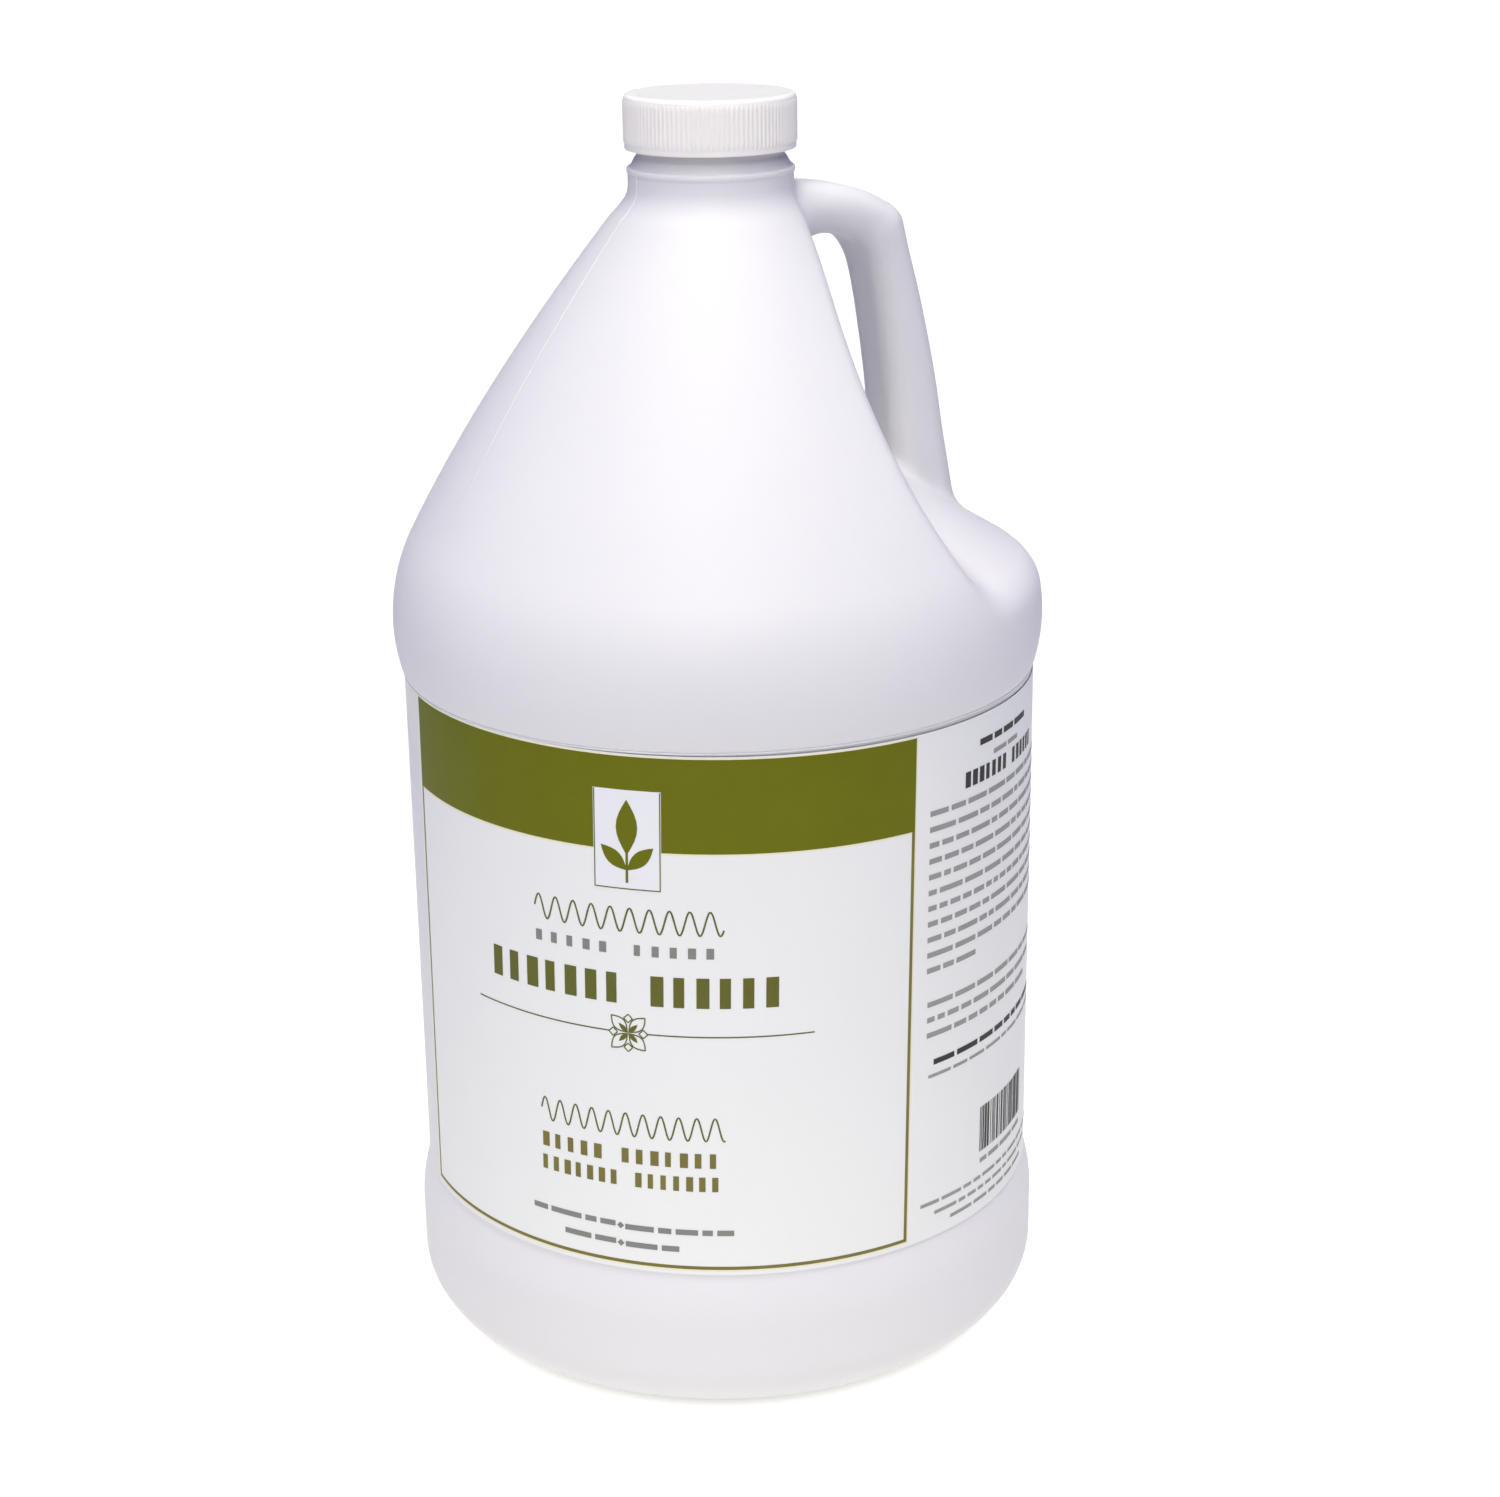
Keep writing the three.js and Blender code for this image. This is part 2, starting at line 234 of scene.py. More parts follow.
def new_piece(name, points, faces, materials, body, replaces=None, smooth=True):
    """A mesh object from points in millimetres, which rides on a body of the frame."""
    mesh = bpy.data.meshes.new(name)
    mesh.from_pydata((np.asarray(points, float) * MM).tolist(), [], faces)
    mesh.validate()
    piece = mesh_object(name, mesh, materials, smooth)
    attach(piece, body)
    if replaces:
        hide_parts(replaces)
    return piece


class Outline:
    """A path of (radius, height) points, made of straight lines, arcs and simple bends."""

    def __init__(self, radius, height):
        self.points = [(radius, height)]

    def line(self, radius, height, steps=1):
        r0, z0 = self.points[-1]
        for i in range(1, steps + 1):
            share = i / steps
            self.points.append((r0 + (radius - r0) * share, z0 + (height - z0) * share))
        return self

    def bend(self, knee, end, steps):
        """A curve that leaves towards the knee and arrives from it."""
        r0, z0 = self.points[-1]
        for i in range(1, steps + 1):
            t = i / steps
            a, b, c = (1 - t) ** 2, 2 * t * (1 - t), t * t
            radius = a * r0 + b * knee[0] + c * end[0]
            self.points.append((radius, a * z0 + b * knee[1] + c * end[1]))
        return self

    def arc(self, centre, radius, start, stop, steps):
        for i in range(steps + 1):
            turn = start + (stop - start) * i / steps
            out, up = radius * math.cos(turn), radius * math.sin(turn)
            self.points.append((centre[0] + out, centre[1] + up))
        return self

    def clean(self):
        """The points as an array, without points that lie on the one before."""
        kept = [self.points[0]]
        for point in self.points[1:]:
            if math.dist(point, kept[-1]) > 1e-6:
                kept.append(point)
        return np.array(kept)


def ring_faces(first, second, count):
    """Quads between two rings of points, whose numbers start at first and second."""
    return [
        (first + i, first + (i + 1) % count, second + (i + 1) % count, second + i)
        for i in range(count)
    ]


def lathe(outline, sides=SIDES, cap_first=False, cap_last=False, shift=None):
    """Points and faces of a turned surface. Each row of the outline becomes a ring. A capped end is
    closed on the axis. shift(turns, radius, height) gives what each turn adds to the radius."""
    turns = np.arange(sides) * 2 * math.pi / sides
    points, faces = [], []
    for radius, height in outline:
        radii = np.full(sides, radius)
        if shift:
            radii = radii + shift(turns, radius, height)
        ring = [radii * np.cos(turns), radii * np.sin(turns), np.full(sides, height)]
        points.append(np.stack(ring, 1))
    rows = len(outline)
    points = np.concatenate(points)
    for row in range(rows - 1):
        faces += ring_faces(row * sides, (row + 1) * sides, sides)
    if cap_first:
        points = np.vstack([points, [0, 0, outline[0][1]]])
        middle = len(points) - 1
        faces += [((i + 1) % sides, i, middle) for i in range(sides)]
    if cap_last:
        points = np.vstack([points, [0, 0, outline[-1][1]]])
        middle = len(points) - 1
        last = (rows - 1) * sides
        faces += [(last + i, last + (i + 1) % sides, middle) for i in range(sides)]
    return points, faces


# ---- jug: the turned part
def lower_outline(inset):
    """From the middle of the base up to the widest part of the shoulder."""
    bumper, panel = BULGE_R - inset, PANEL_R - inset
    corner = BULGE_R - BASE_CORNER
    path = Outline(BASE_FAN_R, PUSH_UP + inset)
    path.line(PUSH_UP_R - RING_BEND, PUSH_UP + inset, 6)
    halfway = ((PUSH_UP_R + RING_INNER_R) / 2, PUSH_UP / 2 + inset)
    path.bend((PUSH_UP_R, PUSH_UP + inset), halfway, 4)
    path.bend((RING_INNER_R, inset), (RING_INNER_R + RING_BEND, inset), 4)
    path.line(corner, inset, 3)
    path.arc((corner, BASE_CORNER), BASE_CORNER - inset, -math.pi / 2, 0, 16)
    path.line(bumper, PANEL_BOTTOM - LOWER_SWELL, 4)
    ease = (panel + PANEL_EASE[0], PANEL_BOTTOM - PANEL_EASE[1])
    path.bend((bumper, PANEL_BOTTOM - LOWER_SWELL * SWELL_KNEE), ease, 12)
    path.bend((panel, PANEL_BOTTOM), (panel, PANEL_BOTTOM + PANEL_EASE_TOP), 3)
    path.line(panel, CREASE_LOW, 6)
    middle = CREASE_LOW + CREASE_HEIGHT / 2
    path.bend((panel + CREASE_RIDGE, CREASE_LOW), (panel + CREASE_RIDGE, middle), 4)
    lip = CREASE_LOW + CREASE_HEIGHT
    path.bend((panel + CREASE_RIDGE, lip - CREASE_EDGE), (panel + CREASE_GROOVE, lip), 4)
    path.bend((panel + LIP_KNEE, lip + CREASE_EDGE), (panel + LIP_END[0], lip + LIP_END[1]), 6)
    shoulder = PANEL_TOP + UPPER_SWELL
    path.bend((bumper, PANEL_TOP + UPPER_SWELL * SWELL_KNEE), (bumper, shoulder), 12)
    return path.clean()


def upper_radius_table():
    """Heights and radii of the outer surface from the shoulder to the collar."""
    shoulder = PANEL_TOP + UPPER_SWELL
    path = Outline(BULGE_R, shoulder - TABLE_MARGIN)
    path.line(BULGE_R, shoulder, 4)
    centre = BULGE_R - SHOULDER_ARC
    path.arc((centre, shoulder), SHOULDER_ARC, 0, SHOULDER_TURN, 80)
    r, z = path.points[-1]
    up = (-math.sin(SHOULDER_TURN), math.cos(SHOULDER_TURN))
    down = (math.sin(CONE_TOP_LEAN), -math.cos(CONE_TOP_LEAN))
    span = (CONE_TOP[0] - r, CONE_TOP[1] - z)
    reach = (span[0] * down[1] - span[1] * down[0]) / (up[0] * down[1] - up[1] * down[0])
    path.bend((r + up[0] * reach, z + up[1] * reach), CONE_TOP, 300)
    path.bend((COLLAR_WALL_R, CONE_TOP[1] + CONE_KNEE), (COLLAR_WALL_R, COLLAR_BOTTOM), 60)
    path.line(COLLAR_WALL_R, COLLAR_BOTTOM + TABLE_MARGIN, 4)
    table = path.clean()
    return table[:, 1], table[:, 0]


RADIUS_Z, RADIUS_R = upper_radius_table()
RADIUS_SLOPE = np.gradient(RADIUS_R, RADIUS_Z)


# ---- jug: the shoulder, recess and handle as one distance field
def smooth_min(a, b, width):
    """The lesser of two distances, rounded over a width where they meet."""
    share = np.clip(0.5 + 0.5 * (b - a) / width, 0, 1)
    return b * (1 - share) + a * share - width * share * (1 - share)


def smooth_max(a, b, width):
    return -smooth_min(-a, -b, width)


def spline(points, per_span):
    """A smooth curve through the points, as an array."""
    p = np.array(points, float)
    along = np.concatenate([[0], np.cumsum(np.linalg.norm(np.diff(p, axis=0), axis=1))])
    slope = np.gradient(p, along, axis=0)
    made = []
    for i in range(len(p) - 1):
        t = np.linspace(0, 1, per_span, endpoint=False)[:, None]
        span = along[i + 1] - along[i]
        made.append(
            (2 * t**3 - 3 * t**2 + 1) * p[i] + (t**3 - 2 * t**2 + t) * span * slope[i]
            + (3 * t**2 - 2 * t**3) * p[i + 1] + (t**3 - t**2) * span * slope[i + 1]
        )
    return np.vstack([*made, p[-1:]])


TOP_BAR = spline(HANDLE_TOP_BAR, 8)
GRIP = spline(HANDLE_GRIP, 10)


def handle_field(x, y, z):
    """The two bars of the handle, rounded into each other on the inside of the corner only."""
    corner_x, corner_z = HANDLE_GRIP[0]
    inward = (corner_x - x + corner_z - z) / HANDLE_DEPTH + HANDLE_INWARD
    width = HANDLE_CORNER * np.clip(inward, HANDLE_OUTSIDE, 1)
    return smooth_min(bar_field(TOP_BAR, x, y, z), bar_field(GRIP, x, y, z), width)


def bar_field(route, x, y, z):
    """Signed distance to a bar along a route, near enough, negative inside it."""
    nearest = np.full(x.shape, 1e9)
    beside = np.zeros(x.shape)
    for (ax, az), (bx, bz) in zip(route[:-1], route[1:]):
        dx, dz = bx - ax, bz - az
        length = math.hypot(dx, dz)
        share = np.clip(((x - ax) * dx + (z - az) * dz) / length**2, 0, 1)
        gap = np.hypot(x - ax - share * dx, z - az - share * dz)
        closer = gap < nearest
        nearest = np.where(closer, gap, nearest)
        beside = np.where(closer, gap, beside)
    depth = HANDLE_DEPTH / 2 + HANDLE_DEEPENS / 2 * np.maximum(HANDLE_DEEPENS_Z - z, 0)
    a = beside - depth + HANDLE_ROUND
    b = np.abs(y) - HANDLE_WIDTH / 2 + HANDLE_ROUND
    outside = np.hypot(np.maximum(a, 0), np.maximum(b, 0))
    return outside + np.minimum(np.maximum(a, b), 0) - HANDLE_ROUND


def jug_field(p):
    """Signed distance to the outer surface of the jug above the bumper, near enough."""
    x, y, z = p[:, 0], p[:, 1], p[:, 2]
    r = np.hypot(x, y)
    surface = np.interp(z, RADIUS_Z, RADIUS_R)
    slope = np.interp(z, RADIUS_Z, RADIUS_SLOPE)
    body = (r - surface) / np.sqrt(1 + slope**2)

    drop = np.clip(RECESS_BEND_Z - z, 0, RECESS_BEND_R * RECESS_BEND_PART)
    bend = np.sqrt(RECESS_BEND_R**2 - drop**2)
    wall_x = RECESS_WALL_X + RECESS_BEND_R - bend - RECESS_DRAFT * np.abs(y)
    wall = (wall_x - x) * bend / RECESS_BEND_R
    foot = (RECESS_EDGE_Z + RECESS_RISE * (RECESS_EDGE_R - r) - z) / math.hypot(1, RECESS_RISE)
    recess = smooth_max(wall, foot, RECESS_CORNER)
    recess = smooth_max(recess, z - RECESS_TOP_Z, RECESS_TOP_ROUND)
    solid = smooth_max(body, -recess, RECESS_ROUND)

    near = (x > 0) & (np.abs(y) < HANDLE_REACH_Y)
    joined = solid.copy()
    handle = handle_field(x[near], y[near], z[near])
    rise = np.clip((z[near] - BLEND_RISE[0]) / BLEND_RISE[1], 0, 1)
    rise = rise * np.clip((BLEND_END[0] - z[near]) / BLEND_END[1], 0, 1)
    blend = HANDLE_BLEND_FOOT + (HANDLE_BLEND_TOP - HANDLE_BLEND_FOOT) * rise
    joined[near] = smooth_min(solid[near], handle, blend)
    return joined


def surface_net(low, high, step, field, level):
    """A quad mesh of field = level, with faces turned towards larger values."""
    axes = [np.arange(low[i], high[i] + step, step) for i in range(3)]
    nx, ny, nz = (len(axis) for axis in axes)
    grid = np.stack(np.meshgrid(*axes, indexing="ij"), -1).reshape(-1, 3)
    values = (field(grid) - level).reshape(nx, ny, nz)
    inside = values < 0
    total = np.zeros((nx - 1, ny - 1, nz - 1, 3))
    count = np.zeros((nx - 1, ny - 1, nz - 1))
    corners = [(i, j, k) for i in (0, 1) for j in (0, 1) for k in (0, 1)]
    for a in corners:
        for axis in range(3):
            if a[axis]:
                continue
            b = tuple(c + (i == axis) for i, c in enumerate(a))
            va, vb = (
                values[i:nx - 1 + i, j:ny - 1 + j, k:nz - 1 + k] for i, j, k in (a, b)
            )
            crossed = (va < 0) != (vb < 0)
            share = np.where(crossed, va / np.where(crossed, va - vb, 1), 0)
            for i in range(3):
                total[..., i] += np.where(crossed, a[i] + (share if i == axis else 0), 0)
            count += crossed
    active = count > 0
    number = np.full(count.shape, -1)
    number[active] = np.arange(active.sum())
    place = total[active] / count[active][:, None] + np.argwhere(active)
    points = np.array(low) + place * step

    faces = []
    for axis in range(3):
        u, v = (axis + 1) % 3, (axis + 2) % 3
        a, b = np.delete(inside, -1, axis), np.delete(inside, 0, axis)
        at = np.argwhere(a != b)
        keep = (at[:, u] > 0) & (at[:, v] > 0)
        for i, n in ((u, values.shape[u]), (v, values.shape[v])):
            keep &= at[:, i] < n - 1
        at = at[keep]
        goes_out = a[tuple(at.T)]
        around = []
        for du, dv in ((-1, -1), (0, -1), (0, 0), (-1, 0)):
            cell = at.copy()
            cell[:, u] += du
            cell[:, v] += dv
            around.append(number[tuple(cell.T)])
        quads = np.stack(around, 1)
        quads[~goes_out] = quads[~goes_out][:, ::-1]
        faces.append(quads)
    return points, np.vstack(faces)


def settle(points, faces, field, level):
    """Evens out the mesh and pulls each point onto the surface."""
    edges = np.vstack([faces[:, [i, (i + 1) % 4]] for i in range(4)])
    edges = np.unique(np.sort(edges, 1), axis=0)
    degree = np.bincount(edges.ravel(), minlength=len(points))[:, None]
    probes = np.eye(3) * SETTLE_PROBE
    for number in range(SETTLE_ROUNDS):
        if number:
            around = np.zeros_like(points)
            np.add.at(around, edges[:, 0], points[edges[:, 1]])
            np.add.at(around, edges[:, 1], points[edges[:, 0]])
            points = points + SETTLE_EASE * (around / degree - points) * (degree > 3)
        for _ in range(SETTLE_PULLS):
            here = field(points) - level
            slope = np.stack(
                [(field(points + d) - field(points - d)) / (2 * SETTLE_PROBE) for d in probes], 1)
            size = np.maximum((slope**2).sum(1), SETTLE_SLOPE)
            points = points - np.clip(here / size, -1, 1)[:, None] * slope
    return points


def add_part(mesh, points, faces):
    """Adds points and faces to a bmesh."""
    made = [mesh.verts.new(p) for p in points]
    for face in faces:
        mesh.faces.new([made[i] for i in face])


def net_shell(level, step):
    """The upper surface of the jug between two heights, as a bmesh with open ends."""
    reach = BULGE_R + NET_SIDE_MARGIN
    low = (-reach, -reach, NET_LOW - NET_MARGIN)
    high = (reach, reach, NET_HIGH + NET_MARGIN)
    points, faces = surface_net(low, high, step, jug_field, level)
    points = settle(points, faces, jug_field, level)
    shell = bmesh.new()
    add_part(shell, points, faces)
    for height, normal in ((NET_HIGH, (0, 0, 1)), (NET_LOW, (0, 0, -1))):
        bmesh.ops.bisect_plane(
            shell, geom=shell.verts[:] + shell.edges[:] + shell.faces[:],
            plane_co=(0, 0, height), plane_no=normal, clear_outer=True, dist=1e-4)
    return shell


# ---- screw threads
def thread_shift(start, depth):
    """A shift for lathe: how far a thread stands off its wall."""
    def shift(turns, radius, height):
        moved = np.zeros(len(turns))
        for lap in range(-1, 3):
            along = (turns + 2 * math.pi * lap) / (2 * math.pi * THREAD_TURNS)
            centre = start + PITCH * THREAD_TURNS * along
            off = np.abs(height - centre)
            rise = np.clip((THREAD_HALF - off) / (THREAD_HALF - THREAD_FLAT), 0, 1)
            fade = np.clip(np.minimum(along, 1 - along) / THREAD_FADE, 0, 1)
            moved = np.maximum(moved, rise * np.where((along > 0) & (along < 1), fade, 0))
        return depth * moved * moved * (3 - 2 * moved)
    return shift


def neck_outline():
    """From just above the net, up over the mouth and down the bore."""
    path = Outline(COLLAR_WALL_R, NET_HIGH + NECK_BAND)
    crest, inside = COLLAR_TOP + BEAD_LIFT, COLLAR_R - BEAD
    path.bend((COLLAR_R, NET_HIGH + BEAD_FOOT), (COLLAR_R, COLLAR_TOP - BEAD + BEAD_SIDE), 5)
    path.bend((COLLAR_R, crest), (COLLAR_R - BEAD / 2, crest), 5)
    path.bend((inside, crest), (inside - BEAD_LIFT, COLLAR_TOP + BEAD_END), 3)
    path.line(NECK_R + LEDGE_OUT, LEDGE_TOP - LEDGE_DROP, 4)
    path.bend((NECK_R, LEDGE_TOP - LEDGE_KNEE), (NECK_R, LEDGE_TOP + LEDGE_END), 4)
    path.line(NECK_R, MOUTH_Z - MOUTH_ROUND, 48)
    path.bend((NECK_R, MOUTH_Z), (NECK_R - MOUTH_ROUND, MOUTH_Z), 4)
    path.line(BORE_R + MOUTH_ROUND, MOUTH_Z, 2)
    path.bend((BORE_R, MOUTH_Z), (BORE_R, MOUTH_Z - MOUTH_ROUND), 4)
    path.line(BORE_R, BORE_START, 6)
    path.bend((BORE_R, BORE_START - BORE_EASE), (COLLAR_WALL_R - WALL, NET_HIGH + BAND), 6)
    return path.clean()


def neck_shift(turns, radius, height):
    """The neck's thread, on its outer wall only."""
    if abs(radius - NECK_R) > ON_WALL:
        return np.zeros(len(turns))
    return thread_shift(NECK_THREAD_START, NECK_THREAD_DEPTH)(turns, radius, height)


def open_rings(mesh):
    """The open rings of a bmesh, each as (height, mean radius, edges)."""
    left = {edge for edge in mesh.edges if edge.is_boundary}
    rings = []
    while left:
        seed = left.pop()
        ring, waiting = [seed], [seed]
        while waiting:
            for vert in waiting.pop().verts:
                for edge in vert.link_edges:
                    if edge in left:
                        left.remove(edge)
                        ring.append(edge)
                        waiting.append(edge)
        verts = {vert for edge in ring for vert in edge.verts}
        height = sum(vert.co.z for vert in verts) / len(verts)
        radius = sum(math.hypot(vert.co.x, vert.co.y) for vert in verts) / len(verts)
        rings.append((height, radius, ring))
    return rings


def build_jug(material):
    """One closed mesh: outer skin, neck, bore and inner skin."""
    jug = bmesh.new()
    outer, inner = lower_outline(0.0), lower_outline(WALL)
    outer[-1, 1] = inner[-1, 1] = NET_LOW - BAND
    add_part(jug, *lathe(outer, cap_first=True))
    points, faces = lathe(inner, INNER_SIDES, cap_first=True)
    add_part(jug, points, [face[::-1] for face in faces])
    add_part(jug, *lathe(neck_outline(), NECK_SIDES, shift=neck_shift))
    for level, step in ((0.0, NET_STEP), (-WALL, INNER_NET_STEP)):
        shell = net_shell(level, step)
        if level < 0:
            bmesh.ops.reverse_faces(shell, faces=shell.faces[:])
        shell.verts.index_update()
        points = [vert.co.copy() for vert in shell.verts]
        add_part(jug, points, [[vert.index for vert in face.verts] for face in shell.faces])
        shell.free()

    rings = open_rings(jug)
    for height in (NET_LOW, NET_HIGH):
        close = [ring for ring in rings if abs(ring[0] - height) < NET_MARGIN]
        inner_a, inner_b, outer_a, outer_b = (
            ring[2] for ring in sorted(close, key=lambda ring: ring[1])
        )
        bmesh.ops.bridge_loops(jug, edges=inner_a + inner_b)
        bmesh.ops.bridge_loops(jug, edges=outer_a + outer_b)
    bmesh.ops.recalc_face_normals(jug, faces=jug.faces[:])
    mesh = bpy.data.meshes.new("jug")
    bmesh.ops.scale(jug, vec=(MM, MM, MM), verts=jug.verts)
    jug.to_mesh(mesh)
    jug.free()
    piece = mesh_object("jug", mesh, [material], True)
    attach(piece, "jug")
    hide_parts("jug_body")


def build_seam(material):
    """The mould's parting line, a low ridge on the -X side from the collar downwards."""
    points, faces = [], []
    for z in np.linspace(SEAM_LOW, SEAM_HIGH, SEAM_ROWS):
        radius, slope = np.interp(z, RADIUS_Z, RADIUS_R), np.interp(z, RADIUS_Z, RADIUS_SLOPE)
        out = 1 / math.hypot(1, slope)
        rise = SEAM_RISE * min(1.0, (z - SEAM_LOW) / SEAM_FADE) + SEAM_LEAST
        section = [(-1.0, -SEAM_SINK), (-1.0, -SEAM_FOOT), (-SEAM_CREST, rise)]
        section += [(-across, lift) for across, lift in reversed(section)]
        for across, lift in section:
            points.append((-radius - lift * out, across * SEAM_HALF, z - lift * out * slope))
    count = len(section)
    for row in range(SEAM_ROWS - 1):
        faces += ring_faces((row + 1) * count, row * count, count)
    faces += [tuple(range(count)), tuple(range(len(points) - count, len(points)))[::-1]]
    new_piece("seam", points, faces, [material], "jug", smooth=False)


# ---- cap and liner
def build_cap(*materials):
    """The cap, from the material of its side and a darker copy of it for its flat top; the top's
    darkness is painted shade.
    """
    low, high = CAP_LOW.z, CAP_HIGH.z
    rib_low, rib_high = low + CAP_BAND, high - CAP_ROUND
    plain = CAP_R - RIB_DEPTH
    path = Outline(CAP_ROOT_R + CAP_CHAMFER, low)
    path.line(plain - CAP_RIM, low, 2)
    path.bend((plain, low), (plain, low + CAP_RIM), 4)
    path.line(plain, rib_low, 2)
    path.line(plain, rib_low + RIB_END, 3)
    path.line(plain, rib_high - RIB_END, 8)
    path.line(plain, rib_high, 3)
    path.arc((plain - CAP_ROUND, high - CAP_ROUND), CAP_ROUND, 0, math.pi / 2, 8)
    path.line(plain - CAP_ROUND - DISH_FROM, high, 2)
    path.line(plain - CAP_ROUND - DISH_TO, high - CAP_DISH, 2)
    path.line(CAP_FAN_R, high - CAP_DISH, 6)
    skin = path.clean()

    ceiling = high - CAP_TOP_WALL
    inside = Outline(CAP_FAN_R, ceiling)
    inside.line(CAP_ROOT_R - CAP_CORNER, ceiling, 5)
    inside.bend((CAP_ROOT_R, ceiling), (CAP_ROOT_R, ceiling - CAP_CORNER), 4)
    inside.line(CAP_ROOT_R, low + CAP_CHAMFER, 34)
    inner = inside.clean()

    thread = thread_shift(NECK_THREAD_START - PITCH / 2, CAP_THREAD_DEPTH)

    def shift(turns, radius, height):
        if abs(radius - CAP_ROOT_R) < ON_WALL:
            return -thread(turns, radius, height)
        if abs(radius - plain) > ON_WALL or height < rib_low:
            return np.zeros(len(turns))
        rise = min(1.0, (height - rib_low) / RIB_END, max(0.0, (rib_high - height) / RIB_END))
        wave = np.abs(np.sin(turns * CAP_RIBS / 2)) ** RIB_POWER
        return RIB_DEPTH * rise * wave

    sides = CAP_RIBS * RIB_COLUMNS
    outline = np.vstack([inner, skin])
    points, faces = lathe(outline, sides, cap_first=True, cap_last=True, shift=shift)
    cap = new_piece("cap", points, faces, materials, "cap", "screw_cap")
    # the flat top takes the darker copy: painted shade that tones down the overhead lamp on it
    for face in cap.data.polygons:
        if face.center.z > (high - 2 * CAP_DISH) * MM:
            face.material_index = 1


def build_liner(material):
    low, high = (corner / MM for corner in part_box("cap_liner"))
    edge = LINER_ROUND
    path = Outline(LINER_FAN_R, low.z).line(high.x - edge, low.z, 5)
    path.bend((high.x, low.z), (high.x, low.z + edge), 3).line(high.x, high.z - edge)
    path.bend((high.x, high.z), (high.x - edge, high.z), 3).line(LINER_FAN_R, high.z, 5)
    points, faces = lathe(path.clean(), LINER_SIDES, cap_first=True, cap_last=True)
    new_piece("liner", points, faces, [material], "liner", "cap_liner")


# ---- label
LABEL_INNER_R = PANEL_R + LABEL_GAP
LABEL_OUTER_R = LABEL_INNER_R + LABEL_THICK


def on_sheet(along, height, lift):
    """The place of a point of the label, `along` from its left edge and `lift` off its face."""
    turn = LABEL_START + (along + math.tan(LABEL_LEAN) * (height - LEAN_PIVOT)) / LABEL_OUTER_R
    radius = LABEL_OUTER_R + lift
    z = height - math.tan(LABEL_TILT) * (along - LABEL_PIVOT)
    return radius * math.cos(turn), radius * math.sin(turn), z


def clip_strip(shape, low, high):
    """The part of a convex or simple polygon between two distances along the sheet."""
    for limit, sign in ((low, 1), (high, -1)):
        kept = []
        for i, (u, v) in enumerate(shape):
            pu, pv = shape[i - 1]
            inside, was = sign * (u - limit) >= 0, sign * (pu - limit) >= 0
            if inside != was:
                share = (limit - pu) / (u - pu)
                kept.append((limit, pv + (v - pv) * share))
            if inside:
                kept.append((u, v))
        shape = kept
        if len(shape) < 3:
            return []
    return shape


STRIP = 2.4  # the sheet is bent in strips of this width
SLIVER = 0.05  # narrower strips join their neighbour
LEAST_AREA = 1e-7  # flatter triangles are dropped


def wrapped_prisms(shapes, bottom, top):
    """Points and faces of thin closed slabs, one for each flat polygon, wrapped round the panel."""
    points, faces = [], []
    for shape in shapes:
        left, right = min(u for u, _ in shape), max(u for u, _ in shape)
        between = [STRIP * k for k in range(math.ceil(left / STRIP), math.ceil(right / STRIP))]
        cuts = [left, *[u for u in between if left + SLIVER < u < right - SLIVER], right]
        found, triangles = {}, []
        for low, high in zip(cuts[:-1], cuts[1:]):
            part = clip_strip(shape, low, high)
            if not part:
                continue
            keys = [(round(u, 4), round(v, 4)) for u, v in part]
            for tri in tessellate_polygon([[Vector((u, v, 0)) for u, v in part]]):
                corner = [keys[i] for i in tri]
                if len(set(corner)) < 3:
                    continue
                for key in corner:
                    found.setdefault(key, len(found))
                a, b, c = corner
                area = (b[0] - a[0]) * (c[1] - a[1]) - (b[1] - a[1]) * (c[0] - a[0])
                if abs(area) > LEAST_AREA:
                    triangles.append([found[k] for k in (corner if area > 0 else corner[::-1])])
        base, count = len(points), len(found)
        for lift in (top, bottom):
            points += [on_sheet(u, v, lift) for u, v in found]
        seen = {}
        for a, b, c in triangles:
            faces.append((base + a, base + b, base + c))
            faces.append((base + count + c, base + count + b, base + count + a))
            for edge in ((a, b), (b, c), (c, a)):
                seen[edge] = True
        for a, b in seen:
            if (b, a) not in seen:
                faces.append((base + b, base + a, base + count + a, base + count + b))
    return points, faces


def box_shape(left, right, low, high):
    return [(left, low), (right, low), (right, high), (left, high)]


def stroke(line, width):
    """A polygon of even width along a line of points."""
    p = np.array(line, float)
    way = np.gradient(p, axis=0)
    way /= np.linalg.norm(way, axis=1)[:, None]
    side = np.stack([-way[:, 1], way[:, 0]], 1) * width / 2
    return [tuple(q) for q in np.vstack([p - side, (p + side)[::-1]])]


def diamond(u, v, reach):
    return [(u - reach, v), (u, v - reach), (u + reach, v), (u, v + reach)]


PETAL_STEPS = 8


def petal(u, v, turn, length, width):
    """A pointed leaf that starts at (u, v)."""
    made = []
    for i in range(2 * PETAL_STEPS):
        out = i <= PETAL_STEPS
        t = (i if out else 2 * PETAL_STEPS - i) / PETAL_STEPS
        a, b = t * length, width / 2 * math.sin(math.pi * t) * (1 if out else -1)
        along = (a * math.cos(turn) - b * math.sin(turn), a * math.sin(turn) + b * math.cos(turn))
        made.append((u + along[0], v + along[1]))
    return made


BLOCK_SPREAD = (0.75, 1.1)  # least and greatest relative width
WAVE_STEPS = 16
BAR_LENGTHS = (2.2, 8.5)
BAR_GAP = 1.0
LAST_BAR = 2.0  # a line may stop this far short


def blocks(rng, left, right, low, high, words, fill):
    """A row of plain blocks that stands for a line of print: one run of blocks for each word."""
    pitch = (right - left) / (sum(words) + len(words) - 1)
    made, u = [], left
    for count in words:
        for _ in range(count):
            share = fill * rng.uniform(*BLOCK_SPREAD)
            made.append(box_shape(u, u + pitch * share, low, high))
            u += pitch
        u += pitch
    return made


